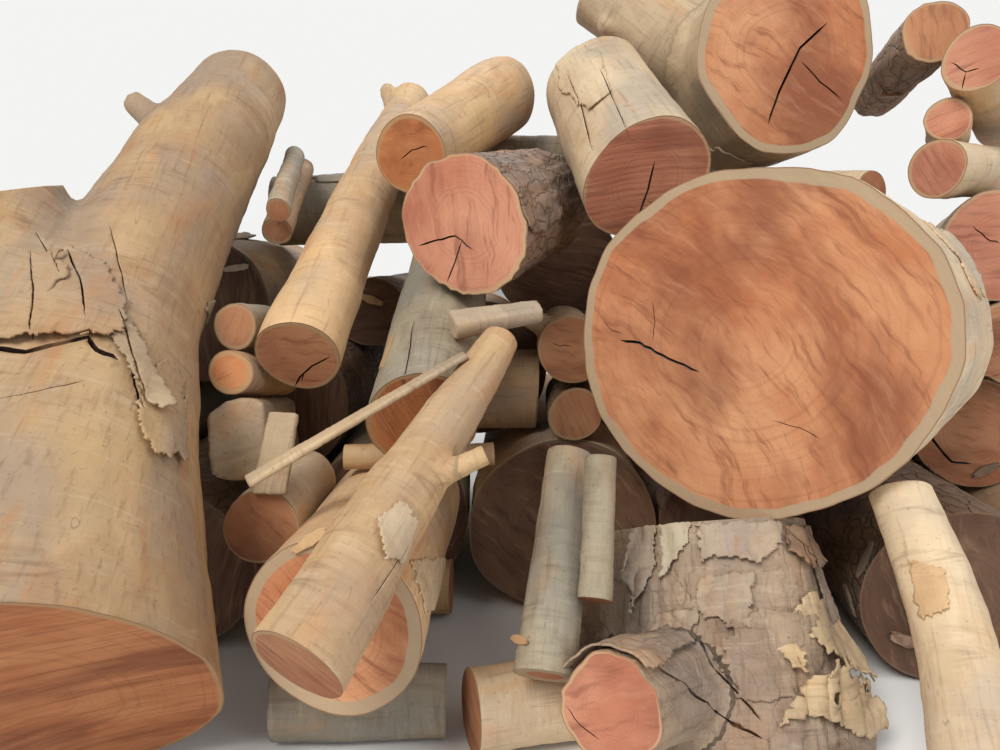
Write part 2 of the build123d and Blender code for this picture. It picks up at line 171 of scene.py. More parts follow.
def bark_group():
    """Colour, roughness and height of bark that sheds in patches, from the log's own coordinates."""
    tree, given, out = group(
        "gum bark",
        [("Ground", COLOUR, (0.5, 0.36, 0.25, 1)), ("Patch", COLOUR, (0.62, 0.5, 0.38, 1)),
         ("Stain", COLOUR, (0.25, 0.15, 0.09, 1)), ("Grey", COLOUR, (0.36, 0.31, 0.28, 1)),
         ("Warm", COLOUR, (0.6, 0.31, 0.13, 1)), ("Patch Share", NUMBER, 0.5),
         ("Wrinkle", NUMBER, 1.0), ("Flake", NUMBER, 0.2)],
        [("Colour", COLOUR), ("Roughness", NUMBER), ("Height", NUMBER)])
    co = read(tree, "log_co", "Vector")
    tone = read(tree, "tone")
    # Broad patches where older bark has fallen off.
    broad = grain(tree, co, 5.5, 3.0, 0.6, stretch=(1, 1, 0.45), warp=0.6)
    share = math_node(tree, "SUBTRACT", 1.0, given.outputs["Patch Share"])
    shift = math_node(tree, "SUBTRACT", broad, math_node(tree, "ADD", times(tree, share, 0.36), 0.32))
    patch = times(tree, shift, 14.0, clamp=True)
    soft = spread(tree, broad, 0.3, 0.7)
    # Cross wrinkles, and long fibres under them.
    uneven = grain(tree, co, 9.0, 2.0, 0.5)
    wrinkle = grain(tree, co, 1.0, 4.0, 0.6, stretch=(9, 9, 62), warp=1.4)
    fine = grain(tree, co, 1.0, 2.0, 0.6, stretch=(45, 45, 420), warp=0.4)
    fibre = grain(tree, co, 1.0, 3.0, 0.6, stretch=(120, 120, 7), warp=0.3)
    speck = grain(tree, co, 160.0, 3.0, 0.7)
    mottle = grain(tree, co, 26.0, 3.0, 0.65, warp=0.5)
    flake_cells = add(tree, "ShaderNodeTexVoronoi", feature="DISTANCE_TO_EDGE")
    flake_cells.inputs["Scale"].default_value = 1.0
    place = add(tree, "ShaderNodeMapping")
    place.inputs["Scale"].default_value = (34, 34, 15)
    warped = add(tree, "ShaderNodeVectorMath", operation="ADD")
    wobble = add(tree, "ShaderNodeTexNoise")
    wobble.inputs["Scale"].default_value = 24.0
    link(tree, co, wobble.inputs["Vector"])
    soft_wobble = add(tree, "ShaderNodeVectorMath", operation="SCALE")
    soft_wobble.inputs["Scale"].default_value = 0.05
    link(tree, wobble.outputs["Color"], soft_wobble.inputs[0])
    link(tree, co, warped.inputs[0])
    link(tree, soft_wobble.outputs[0], warped.inputs[1])
    link(tree, warped.outputs[0], place.inputs["Vector"])
    link(tree, place.outputs["Vector"], flake_cells.inputs["Vector"])
    gap = spread(tree, flake_cells.outputs["Distance"], 0.0, 0.09)
    # Hair cracks: the thin lines along which a noise crosses its middle value.
    vein = grain(tree, co, 1.0, 2.0, 0.5, stretch=(26, 26, 3.2), warp=0.3)
    hair = spread(tree, math_node(tree, "ABSOLUTE", math_node(tree, "SUBTRACT", vein, 0.5)), 0.0, 0.006,
            1.0, 0.0)
    hair = times(tree, hair, spread(tree, mottle, 0.52, 0.64))
    cool = grain(tree, co, 7.0, 3.0, 0.5, stretch=(1, 1, 0.6), warp=0.4)
    warm = grain(tree, co, 13.0, 4.0, 0.6, stretch=(1, 1, 0.35), warp=0.8)
    # Colours.
    colour = blend_colour(tree, spread(tree, mottle, 0.3, 0.75, 0.0, 0.5), given.outputs["Ground"],
            given.outputs["Patch"])
    colour = blend_colour(tree, times(tree, patch, 0.6), colour, given.outputs["Patch"])
    colour = blend_colour(tree, spread(tree, cool, 0.46, 0.64, 0.0, 0.6), colour, given.outputs["Grey"])
    colour = blend_colour(tree, spread(tree, warm, 0.54, 0.7, 0.0, 0.6), colour, given.outputs["Warm"])
    in_folds = times(tree, spread(tree, wrinkle, 0.53, 0.72, 0.0, 0.5), spread(tree, uneven, 0.42, 0.62))
    colour = blend_colour(tree, in_folds, colour, given.outputs["Stain"])
    colour = blend_colour(tree, spread(tree, wrinkle, 0.26, 0.42, 0.2, 0.0), colour, (0.8, 0.66, 0.48))
    colour = blend_colour(tree, spread(tree, fibre, 0.55, 0.75, 0.0, 0.4), colour, given.outputs["Stain"])
    colour = blend_colour(tree, spread(tree, speck, 0.62, 0.75, 0.0, 0.6), colour, given.outputs["Stain"])
    colour = blend_colour(tree, times(tree, hair, 0.5), colour, (0.09, 0.045, 0.025))
    edge_dark = times(tree, math_node(tree, "SUBTRACT", 1.0, gap), given.outputs["Flake"])
    colour = blend_colour(tree, times(tree, edge_dark, 0.45), colour, given.outputs["Stain"])
    # Each log is a little lighter or darker, and dull where grime has settled.
    lift = add(tree, "ShaderNodeHueSaturation")
    link(tree, spread(tree, tone, 0.0, 1.0, 0.78, 1.22), lift.inputs["Value"])
    link(tree, spread(tree, soft, 0.0, 1.0, 0.86, 1.08), lift.inputs["Saturation"])
    link(tree, colour, lift.inputs["Color"])
    link(tree, lift.outputs["Color"], out.inputs["Colour"])
    rough = math_node(tree, "ADD", spread(tree, wrinkle, 0.3, 0.7, 0.62, 0.85), times(tree, patch, -0.08))
    link(tree, rough, out.inputs["Roughness"])
    height = times(tree, math_node(tree, "ADD", times(tree, wrinkle, 0.7),
                       times(tree, fine, 0.3)), given.outputs["Wrinkle"])
    height = math_node(tree, "ADD", height, times(tree, fibre, 0.25))
    height = math_node(tree, "ADD", height, times(tree, times(tree, gap, given.outputs["Flake"]), 1.4))
    link(tree, height, out.inputs["Height"])
    return tree


def sawn_group():
    """Colour, roughness and height of a freshly sawn end: rings, saw arcs, pale rim and torn fibre."""
    tree, given, out = group(
        "sawn end",
        [("Heart", COLOUR, (0.6, 0.25, 0.13, 1)), ("Pale", COLOUR, (0.78, 0.45, 0.28, 1)),
         ("Rim", COLOUR, (0.5, 0.36, 0.2, 1)), ("Streak", COLOUR, (0.25, 0.09, 0.045, 1)), ("Rim Width",
             NUMBER, 0.011)],
        [("Colour", COLOUR), ("Roughness", NUMBER), ("Height", NUMBER)])
    co = read(tree, "face_co", "Vector")
    rho = read(tree, "rho")
    rim_gap = read(tree, "rim_gap")
    tone = read(tree, "tone")
    parts = add(tree, "ShaderNodeSeparateXYZ")
    link(tree, co, parts.inputs[0])
    # Saw arcs swing about a point far outside the log.
    far = add(tree, "ShaderNodeVectorMath", operation="DISTANCE")
    far.inputs[1].default_value = (0.62, -0.5, 0.0)
    link(tree, co, far.inputs[0])
    arc = far.outputs["Value"]
    wob = grain(tree, co, 6.0, 3.0, 0.6)
    arc_bent = math_node(tree, "ADD", arc, times(tree, wob, 0.009))
    waves = math_node(tree, "SINE", times(tree, arc_bent, 900.0))
    stack = add(tree, "ShaderNodeCombineXYZ")
    link(tree, times(tree, arc_bent, 90.0), stack.inputs[0])
    link(tree, times(tree, parts.outputs[0], 3.0), stack.inputs[1])
    link(tree, times(tree, parts.outputs[1], 3.0), stack.inputs[2])
    bands = grain(tree, stack.outputs[0], 1.0, 5.0, 0.65)
    stack_fine = add(tree, "ShaderNodeCombineXYZ")
    link(tree, times(tree, arc_bent, 520.0), stack_fine.inputs[0])
    link(tree, times(tree, parts.outputs[0], 9.0), stack_fine.inputs[1])
    link(tree, times(tree, parts.outputs[1], 9.0), stack_fine.inputs[2])
    scratches = grain(tree, stack_fine.outputs[0], 1.0, 3.0, 0.7)
    # Rings follow the outline of the log.
    ring_in = math_node(tree, "ADD", times(tree, rho, 26.0),
                        times(tree, grain(tree, co, 9.0, 3.0), 2.2))
    rings = add(tree, "ShaderNodeTexNoise", noise_dimensions="1D")
    rings.inputs["Scale"].default_value = 1.0
    rings.inputs["Detail"].default_value = 3.0
    link(tree, ring_in, rings.inputs["W"])
    ring = rings.outputs["Fac"]
    cloud = grain(tree, co, 5.0, 3.0, 0.6, warp=0.2)
    pores = grain(tree, co, 420.0, 2.0, 0.6)
    # Broad dark bands and streaks run the way the saw went.
    sweep = add(tree, "ShaderNodeCombineXYZ")
    link(tree, times(tree, arc_bent, 16.0), sweep.inputs[0])
    link(tree, times(tree, parts.outputs[0], 2.4), sweep.inputs[1])
    link(tree, times(tree, parts.outputs[1], 2.4), sweep.inputs[2])
    dark_bands = grain(tree, sweep.outputs[0], 1.0, 5.0, 0.6, warp=0.15)
    colour = blend_colour(tree, spread(tree, cloud, 0.35, 0.68), given.outputs["Heart"],
            given.outputs["Pale"])
    colour = blend_colour(tree, spread(tree, bands, 0.5, 0.7, 0.0, 0.45), colour, given.outputs["Pale"])
    colour = blend_colour(tree, spread(tree, dark_bands, 0.49, 0.62, 0.0, 0.75), colour,
            given.outputs["Streak"])
    colour = blend_colour(tree, spread(tree, ring, 0.5, 0.72, 0.0, 0.2), colour, given.outputs["Streak"])
    colour = blend_colour(tree, spread(tree, bands, 0.3, 0.46, 0.6, 0.0), colour, given.outputs["Streak"])
    colour = blend_colour(tree, spread(tree, scratches, 0.56, 0.7, 0.0, 0.18), colour, (0.7, 0.42, 0.25))
    colour = blend_colour(tree, spread(tree, scratches, 0.32, 0.46, 0.6, 0.0), colour,
            given.outputs["Streak"])
    colour = blend_colour(tree, spread(tree, pores, 0.6, 0.74, 0.0, 0.35), colour, (0.25, 0.09, 0.045))
    rim_edge = math_node(tree, "ADD", given.outputs["Rim Width"], times(tree, spread(tree, cloud, 0.3, 0.7,
            -1.0, 1.0), 0.005))
    in_rim = times(tree, math_node(tree, "SUBTRACT", rim_edge, rim_gap), 420.0, clamp=True)
    colour = blend_colour(tree, times(tree, in_rim, 0.88), colour, given.outputs["Rim"])
    inner = times(tree, math_node(tree, "SUBTRACT", 0.0022, rim_gap), 900.0, clamp=True)
    colour = blend_colour(tree, times(tree, inner, 0.8), colour, (0.24, 0.13, 0.07))
    lift = add(tree, "ShaderNodeHueSaturation")
    link(tree, spread(tree, tone, 0.0, 1.0, 0.85, 1.12), lift.inputs["Value"])
    link(tree, colour, lift.inputs["Color"])
    link(tree, lift.outputs["Color"], out.inputs["Colour"])
    link(tree, spread(tree, bands, 0.3, 0.7, 0.9, 0.72), out.inputs["Roughness"])
    height = math_node(tree, "ADD", times(tree, bands, 0.9),
                       math_node(tree, "ADD", times(tree, waves, 0.06),
                                 times(tree, scratches, 0.4)))
    height = math_node(tree, "ADD", height, times(tree, ring, 0.15))
    link(tree, height, out.inputs["Height"])
    return tree


BARK, SAWN = bark_group(), sawn_group()


def finish(name, effect, values, depth, distance):
    """A wood material: one effect group into a plain shader, with bump from its height."""
    material = bpy.data.materials.new(name)
    material.use_nodes = True
    tree = material.node_tree
    shader = tree.nodes["Principled BSDF"]
    shader.inputs["Specular IOR Level"].default_value = 0.3
    inner = add(tree, "ShaderNodeGroup", node_tree=effect)
    for word, value in values.items():
        inner.inputs[word].default_value = (*value, 1.0) if isinstance(value, tuple) else value
    bump = add(tree, "ShaderNodeBump")
    bump.inputs["Strength"].default_value = depth
    bump.inputs["Distance"].default_value = distance
    link(tree, inner.outputs["Height"], bump.inputs["Height"])
    link(tree, inner.outputs["Colour"], shader.inputs["Base Color"])
    link(tree, inner.outputs["Roughness"], shader.inputs["Roughness"])
    link(tree, bump.outputs["Normal"], shader.inputs["Normal"])
    return material


BARK_INPUTS = ("Ground", "Patch", "Stain", "Grey", "Warm", "Patch Share", "Wrinkle", "Flake")
BARKS = {}
for key, title, depth, distance, *values in (
    ("tan", "tan gum bark", 0.7, 0.0035, (0.47, 0.285, 0.135), (0.63, 0.435, 0.24), (0.16, 0.078, 0.038),
        (0.34, 0.265, 0.205), (0.5, 0.225, 0.08), 0.55, 0.6, 0.0),
    ("cream", "cream gum bark", 0.7, 0.0035, (0.52, 0.365, 0.21), (0.68, 0.54, 0.36), (0.2, 0.11, 0.06),
        (0.33, 0.285, 0.235), (0.56, 0.3, 0.13), 0.6, 0.7, 0.03),
    ("grey", "grey gum bark", 0.8, 0.004, (0.31, 0.25, 0.165), (0.5, 0.43, 0.31), (0.11, 0.075, 0.045),
        (0.23, 0.225, 0.2), (0.42, 0.24, 0.11), 0.5, 0.7, 0.04),
    ("rough", "rough brown bark", 1.0, 0.006, (0.24, 0.14, 0.085), (0.38, 0.26, 0.17), (0.06, 0.03, 0.018),
        (0.2, 0.165, 0.145), (0.36, 0.17, 0.08), 0.35, 0.6, 0.45),
    ("stump", "peeling stump bark", 1.0, 0.005, (0.25, 0.17, 0.115), (0.41, 0.31, 0.22), (0.08, 0.045,
        0.028), (0.21, 0.185, 0.165), (0.38, 0.2, 0.1), 0.5, 0.6, 0.15),
    ("plate", "loose bark plate", 0.9, 0.004, (0.3, 0.22, 0.155), (0.46, 0.36, 0.26), (0.1, 0.055, 0.035),
        (0.26, 0.22, 0.195), (0.38, 0.2, 0.1), 0.5, 0.5, 0.1),
    ("curl", "pale inner bark", 0.8, 0.004, (0.42, 0.29, 0.165), (0.6, 0.46, 0.29), (0.16, 0.085, 0.04),
        (0.3, 0.235, 0.17), (0.45, 0.23, 0.1), 0.5, 0.4, 0.0),
):
    BARKS[key] = finish(title, BARK, dict(zip(BARK_INPUTS, values)), depth, distance)
SAWN_INPUTS = ("Heart", "Pale", "Rim", "Streak", "Rim Width")
ENDS = {}
for key, title, depth, distance, *values in (
    ("salmon", "salmon sawn wood", 0.9, 0.0022, (0.45, 0.16, 0.068), (0.62, 0.31, 0.155), (0.4, 0.305,
        0.195), (0.22, 0.07, 0.036), 0.018),
    ("pink", "pink sawn wood", 0.9, 0.002, (0.46, 0.17, 0.1), (0.62, 0.3, 0.19), (0.5, 0.33, 0.19), (0.24,
        0.085, 0.055), 0.007),
    ("orange", "orange sawn wood", 0.9, 0.0025, (0.42, 0.135, 0.045), (0.58, 0.25, 0.105), (0.44, 0.27,
        0.13), (0.2, 0.06, 0.025), 0.008),
    # Near-black ends for the logs behind the front ones: their darkness is painted shade, so the gaps between the
    # front logs read as shadow.
    ("old_painted_shade", "weathered sawn wood, painted shade", 0.9, 0.002, (0.135, 0.07, 0.042), (0.2, 0.115, 0.07), (0.15, 0.105,
        0.07), (0.06, 0.03, 0.02), 0.006),
    ("brown", "brown sawn wood", 0.9, 0.002, (0.33, 0.13, 0.06), (0.48, 0.24, 0.125), (0.4, 0.27, 0.15),
        (0.16, 0.055, 0.03), 0.005),
):
    ENDS[key] = finish(title, SAWN, dict(zip(SAWN_INPUTS, values)), depth, distance)
CRACK = finish("drying crack", BARK, {"Ground": (0.035, 0.015, 0.008), "Patch": (0.07, 0.03, 0.015),
        "Stain": (0.01, 0.005, 0.003), "Patch Share": 0.3, "Wrinkle": 0.3, "Flake": 0.0}, 0.5, 0.002)


# Mesh helpers.

# Corners nearer than this are one, in metres.
WELD = 0.00003
# What counts as one flat face: how little it turns, and how far it may step, in metres.
FLAT_TURN, FLAT_STEP = 0.9999, 0.0003
# A sawn end is at least this large, in square metres, and its rim is mostly sharp and seldom hollow.
SMALLEST_END = 0.00028
SHARP_TURN, SHARP_SHARE, HOLLOW_SHARE = 0.82, 0.72, 0.04
# How many voxels an end is pushed out before it is sawn off again.
END_SPARE = 4.0

def open_mesh():
    bpy.ops.object.mode_set(mode="EDIT")


def close_mesh():
    bpy.ops.object.mode_set(mode="OBJECT")


def pick(obj):
    if bpy.context.mode != "OBJECT":
        close_mesh()
    for other in bpy.context.selected_objects:
        other.select_set(False)
    obj.select_set(True)
    bpy.context.view_layer.objects.active = obj


def gather(parts, key, kind=np.int32, width=1):
    """One value, or a row of values, for each vertex, edge, face or corner of a mesh."""
    flat = np.empty(len(parts) * width, kind)
    parts.foreach_get(key, flat)
    return flat if width == 1 else flat.reshape(-1, width)


def positions(mesh):
    return gather(mesh.vertices, "co", np.float32, 3).astype(float)


def sawn_ends(mesh):
    """Finds the flat faces of a log that have a sharp edge all round: its sawn and split ends."""
    co = positions(mesh)
    tri = np.array([p.vertices[:3] for p in mesh.polygons])
    cross = np.cross(co[tri[:, 1]] - co[tri[:, 0]], co[tri[:, 2]] - co[tri[:, 0]])
    area = np.linalg.norm(cross, axis=1) / 2
    normal = cross / (2 * area[:, None] + 1e-15)
    centre = co[tri].mean(1)
    sides = {}
    for k, p in enumerate(mesh.polygons):
        for key in p.edge_keys:
            sides.setdefault(key, []).append(k)
    found, used = [], np.zeros(len(tri), bool)
    for seed in np.argsort(-area)[:400]:
        if used[seed] or area[seed] < 1e-7:
            continue
        patch, queue = {seed}, [seed]
        while queue:
            k = queue.pop()
            for key in mesh.polygons[k].edge_keys:
                for other in sides[key]:
                    flat = area[other] < 1e-7 or normal[other] @ normal[seed] > FLAT_TURN
                    if other not in patch and flat and abs((centre[other] - centre[seed]) @ normal[seed]) < FLAT_STEP:
                        patch.add(other)
                        queue.append(other)
        rows = np.array(sorted(patch))
        used[rows] = True
        whole = area[rows].sum()
        if whole < SMALLEST_END or len(rows) < 4:
            continue
        sharp = rim = hollow = 0.0
        for k in rows:
            for key in mesh.polygons[k].edge_keys:
                others = [o for o in sides[key] if o not in patch]
                if others:
                    size = np.linalg.norm(co[key[0]] - co[key[1]])
                    rim += size
                    sharp += size * (normal[others[0]] @ normal[seed] < SHARP_TURN)
                    hollow += size * ((centre[others[0]] - centre[seed]) @ normal[seed] > 0.0005)
        if rim == 0 or sharp < SHARP_SHARE * rim or hollow > HOLLOW_SHARE * rim:
            continue
        mid = (centre[rows] * area[rows, None]).sum(0) / whole
        reach = np.linalg.norm(co[tri[rows].ravel()] - mid, axis=1).max()
        found.append({"centre": mid, "out": normal[seed], "radius": math.sqrt(whole / math.pi),
                "area": whole,
                      "reach": reach, "corners": np.unique(tri[rows])})
    found.sort(key=lambda e: -e["area"])
    return found


def stem_lines(mesh, ends):
    """The straight lines that the log's own coordinates are measured along."""
    co = positions(mesh)
    round_ends = [e for e in ends if e["area"] > 0.5 * math.pi * e["reach"] ** 2]
    if len(round_ends) == 2 and round_ends[0]["out"] @ round_ends[1]["out"] < -0.3:
        a, b = round_ends[0]["centre"], round_ends[1]["centre"]
        return [(a, (b - a) / np.linalg.norm(b - a), round_ends[0]["radius"])]
    if len(round_ends) >= 2:
        return [(e["centre"], -e["out"], e["radius"]) for e in round_ends]
    mid = co.mean(0)
    _, _, axes = np.linalg.svd(co - mid, full_matrices=False)
    if round_ends:
        return [(round_ends[0]["centre"], axes[0], round_ends[0]["radius"])]
    return [(mid, axes[0], 0.05)]


def across(axis):
    side = np.cross(axis, (0.0, 0.0, 1.0))
    if np.linalg.norm(side) < 0.2:
        side = np.cross(axis, (1.0, 0.0, 0.0))
    side /= np.linalg.norm(side)
    return side, np.cross(side, axis)


def own_coordinates(co, lines, seed):
    """Position of each point in the log's own frame: two measures across and one along."""
    best, out = None, np.zeros_like(co)
    for k, (start, axis, radius) in enumerate(lines):
        side, up = across(axis)
        rel = co - start
        x, y, z = rel @ side, rel @ up, rel @ axis
        away = np.hypot(x, y) / radius + np.maximum(0, -z) / radius
        local = np.column_stack((x, y, z)) + (seed * 1.7 + k * 3.1, seed * 0.9, seed * 2.3 + k)
        if best is None:
            best, out = away, local
        else:
            closer = away < best
            out[closer] = local[closer]
            best = np.minimum(best, away)
    return out


def store(mesh, name, kind, values):
    attribute = mesh.attributes.get(name) or mesh.attributes.new(name, kind, "POINT")
    attribute.data.foreach_set("vector" if kind == "FLOAT_VECTOR" else "value",
                               np.ascontiguousarray(values, np.float32).ravel())


def bumps(co, local, depth, lumps, fissures, seed):
    """How far each point of the bark stands out, in metres."""
    out = np.empty(len(co))
    for i, (p, q) in enumerate(zip(co, local)):
        swell = noise.noise((p[0] * 9 + seed, p[1] * 9, p[2] * 9))
        wave = noise.noise((q[0] * 14, q[1] * 14, q[2] * 42))
        small = noise.noise((q[0] * 60, q[1] * 60, q[2] * 90))
        value = lumps * swell + depth * (0.6 * wave + 0.4 * small)
        if fissures:
            ridge = 1.0 - 2.2 * abs(noise.noise((q[0] * 38, q[1] * 38, q[2] * 7 + seed)))
            value += fissures * (ridge - 0.4)
        out[i] = value
    return out


def choose(mesh, faces):
    """Selects just these faces, a true-or-false list over all of them, and opens the mesh for editing."""
    inside = np.repeat(faces, gather(mesh.polygons, "loop_total"))
    for parts, key in ((mesh.vertices, "vertex_index"), (mesh.edges, "edge_index")):
        chosen = np.zeros(len(parts), bool)
        chosen[gather(mesh.loops, key)[inside]] = True
        parts.foreach_set("select", chosen)
    mesh.polygons.foreach_set("select", faces)
    bpy.context.tool_settings.mesh_select_mode = (False, False, True)
    open_mesh()


def saw(log, e):
    """Saws a log off at the plane of one of its ends, and divides the new face finely."""
    mesh = log.data
    pick(log)
    rel = gather(mesh.polygons, "center", np.float32, 3) - e["centre"]
    choose(mesh, (np.linalg.norm(rel, axis=1) < 1.25 * e["reach"] + 0.05) & (rel @ e["out"] > -0.03))
    bpy.ops.mesh.bisect(plane_co=e["centre"], plane_no=e["out"], use_fill=True, clear_outer=True,
            threshold=0.00002)
    close_mesh()
    co = positions(mesh)
    on = (np.abs((co - e["centre"]) @ e["out"]) < 0.00006) & (np.linalg.norm(co - e["centre"],
            axis=1) < 1.25 * e["reach"] + 0.01)
    sizes = gather(mesh.polygons, "loop_total")
    cap = [int(k) for k in np.nonzero(sizes > 8)[0] if on[list(mesh.polygons[int(k)].vertices)].all()]
    slots = gather(mesh.polygons, "material_index")
    slots[cap] = 1
    mesh.polygons.foreach_set("material_index", slots)
    chosen = np.zeros(len(mesh.polygons), bool)
    chosen[cap] = True
    before = len(mesh.vertices)
    choose(mesh, chosen)
    bpy.ops.mesh.poke()
    close_mesh()
    pairs = gather(mesh.edges, "vertices", width=2)
    mesh.vertices.foreach_set("select", np.zeros(len(mesh.vertices), bool))
    mesh.polygons.foreach_set("select", np.zeros(len(mesh.polygons), bool))
    mesh.edges.foreach_set("select", pairs.max(1) >= before)
    bpy.context.tool_settings.mesh_select_mode = (False, True, False)
    open_mesh()
    bpy.ops.mesh.subdivide(number_cuts=3)
    close_mesh()


def close_up(log):
    """Closes any hole that is left in a log, so that none looks hollow."""
    pick(log)
    bpy.context.tool_settings.mesh_select_mode = (False, True, False)
    open_mesh()
    bpy.ops.mesh.select_all(action="DESELECT")
    bpy.ops.mesh.select_non_manifold(extend=False, use_wire=False, use_multi_face=False,
            use_non_contiguous=False, use_verts=False)
    close_mesh()
    if gather(log.data.edges, "select", bool).any():
        open_mesh()
        bpy.ops.mesh.fill()
        close_mesh()


def dress(name, voxel, bark="tan", end="salmon", depth=0.0015, lumps=0.003, fissures=0.0, cracks=()):
    """Makes the shown log from its plain solid: rough bark, crisp sawn ends, rings and cracks."""
    source = frame["nodes"][name]
    seed = (sum(ord(c) * (i + 3) for i, c in enumerate(name)) % 97) / 9.7
    pick(source)
    bpy.ops.object.duplicate()
    log = bpy.context.object
    log.name = name + "_barked"
    log.data.name = log.name
    bpy.ops.object.parent_clear(type="CLEAR_KEEP_TRANSFORM")
    open_mesh()
    bpy.ops.mesh.select_all(action="SELECT")
    bpy.ops.mesh.remove_doubles(threshold=WELD)
    close_mesh()
    mesh = log.data
    ends = sawn_ends(mesh) if end else []
    lines = stem_lines(mesh, ends)
    co = positions(mesh)
    for e in ends:
        co[e["corners"]] += e["out"] * voxel * END_SPARE
    mesh.vertices.foreach_set("co", co.astype(np.float32).ravel())
    remesh = log.modifiers.new("even skin", "REMESH")
    remesh.mode = "VOXEL"
    remesh.voxel_size = voxel
    bpy.ops.object.modifier_apply(modifier=remesh.name)
    ease = log.modifiers.new("no facets", "SMOOTH")
    ease.factor = 0.5
    slim = min(line[2] for line in lines) < 0.045
    ease.iterations = 3 if not end else 6 if slim else 16
    bpy.ops.object.modifier_apply(modifier=ease.name)
    mesh = log.data
    mesh.materials.clear()
    for material in (BARKS[bark], ENDS[end], CRACK) if end else (BARKS[bark],):
        mesh.materials.append(material)
    co = positions(mesh)
    local = own_coordinates(co, lines, seed)
    outward = gather(mesh.vertex_normals, "vector", np.float32, 3)
    co = co + outward * bumps(co, local, depth, lumps, fissures, seed)[:, None]
    mesh.vertices.foreach_set("co", co.astype(np.float32).ravel())
    mesh.update()
    for e in ends:
        saw(log, e)
    close_up(log)
    if cracks:
        split(log, cracks)
    label(log, ends, lines, seed)
    log.data.polygons.foreach_set("use_smooth", gather(log.data.polygons, "material_index") == 0)
    wear(log, name)
    return log, ends, lines


def wear(piece, name):
    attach(piece, "root")
    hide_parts(name)


TIP = math.radians(LOOK_DOWN)
FORWARD = np.array((0.0, math.cos(TIP), -math.sin(TIP)))
DOWN = np.array((0.0, -math.sin(TIP), -math.cos(TIP)))


def ray(u, v):
    """Direction from the eye through a place in the view."""
    way = FORWARD + DOWN * (v - VIEW_MIDDLE_V) / VIEW_REACH
    way[0] = (u - VIEW_MIDDLE_U) / VIEW_REACH
    return Vector(way).normalized()


def seen_at(co):
    """Where points appear in that view."""
    rel = co - np.array(EYE)
    far = rel @ FORWARD
    return VIEW_MIDDLE_U + VIEW_REACH * rel[:, 0] / far, VIEW_MIDDLE_V + VIEW_REACH * (rel @ DOWN) / far


def split(log, cracks):
    """Cuts drying cracks: each is a path of places in the view, with a width and a depth in metres."""
    tree = BVHTree.FromPolygons([v.co[:] for v in log.data.vertices],
            [p.vertices[:] for p in log.data.polygons])
    corners, faces = [], []
    for number, (path, width, depth) in enumerate(cracks):
        fine = []
        for (u, v), (u2, v2) in zip(path, path[1:]):
            for k in range(3):
                t, wob = k / 3, 1.6 * noise.noise((u * 0.31 + k, v * 0.37, number)) * (k > 0)
                fine.append((u + (u2 - u) * t + wob, v + (v2 - v) * t - wob))
        fine.append(path[-1])
        hits = [tree.ray_cast(Vector(EYE), ray(u, v)) for u, v in fine]
        hits = [(np.array(h[0]), np.array(h[1])) for h in hits if h[0] is not None]
        if len(hits) < 3:
            continue
        base = len(corners)
        for k, (place, out) in enumerate(hits):
            ahead = hits[min(k + 1, len(hits) - 1)][0] - hits[max(k - 1, 0)][0]
            ahead /= np.linalg.norm(ahead) + 1e-9
            left = np.cross(out, ahead)
            tip = k in (0, len(hits) - 1)
            half = left * width * (0.1 if tip else 0.8 + 0.4 * abs(noise.noise((k * 0.9, number * 3.3,
                    0)))) / 2
            deep = -out * depth * (0.35 if tip else 1.0)
            corners += [place + out * 0.006 + half, place + out * 0.006 - half, place + deep - half * 0.2,
                    place + deep + half * 0.2]
        for k in range(len(hits) - 1):
            i = base + 4 * k
            for a in range(4):
                b = (a + 1) % 4
                faces.append((i + a, i + b, i + 4 + b, i + 4 + a))
        faces.append((base + 3, base + 2, base + 1, base))
        last = base + 4 * (len(hits) - 1)
        faces.append((last, last + 1, last + 2, last + 3))
    if not faces:
        return
    shape = bpy.data.meshes.new("crack cutter")
    shape.from_pydata([tuple(c) for c in corners], [], faces)
    for k in range(3):
        shape.materials.append(log.data.materials[k])
    for p in shape.polygons:
        p.material_index = 2
    cutter = bpy.data.objects.new("crack cutter", shape)
    bpy.context.scene.collection.objects.link(cutter)
    pick(cutter)
    open_mesh()
    bpy.ops.mesh.select_all(action="SELECT")
    bpy.ops.mesh.normals_make_consistent(inside=False)
    close_mesh()
    pick(log)
    cut = log.modifiers.new("drying cracks", "BOOLEAN")
    cut.operation = "DIFFERENCE"
    cut.solver = "EXACT"
    cut.use_self = len(cracks) > 1
    cut.object = cutter
    bpy.ops.object.modifier_apply(modifier=cut.name)
    bpy.data.objects.remove(cutter)


def within(u, v, outline):
    """Which points lie inside a closed outline."""
    inside = np.zeros(len(u), bool)
    for (a, b), (c, d) in zip(outline, outline[1:] + outline[:1]):
        crosses = (b > v) != (d > v)
        if b != d:
            inside ^= crosses & (u < (c - a) * (v - b) / (d - b) + a)
    return inside


def by_view(outline, free, ragged=3.0):
    """A plate outlined in the view; free is the direction, in the view, of its loose edge."""
    u0, v0 = np.mean(outline, axis=0)
    reach = [(u - u0) * free[0] + (v - v0) * free[1] for u, v in outline]
    low, high = min(reach), max(reach)

    def test(co):
        u, v = seen_at(co)
        wob = np.array([noise.noise((a * 0.16, b * 0.16, u0)) for a, b in zip(u, v)])
        t = ((u - u0) * free[0] + (v - v0) * free[1] - low) / (high - low)
        return within(u + ragged * wob, v - ragged * wob, outline), np.clip(t, 0, 1)
    return test


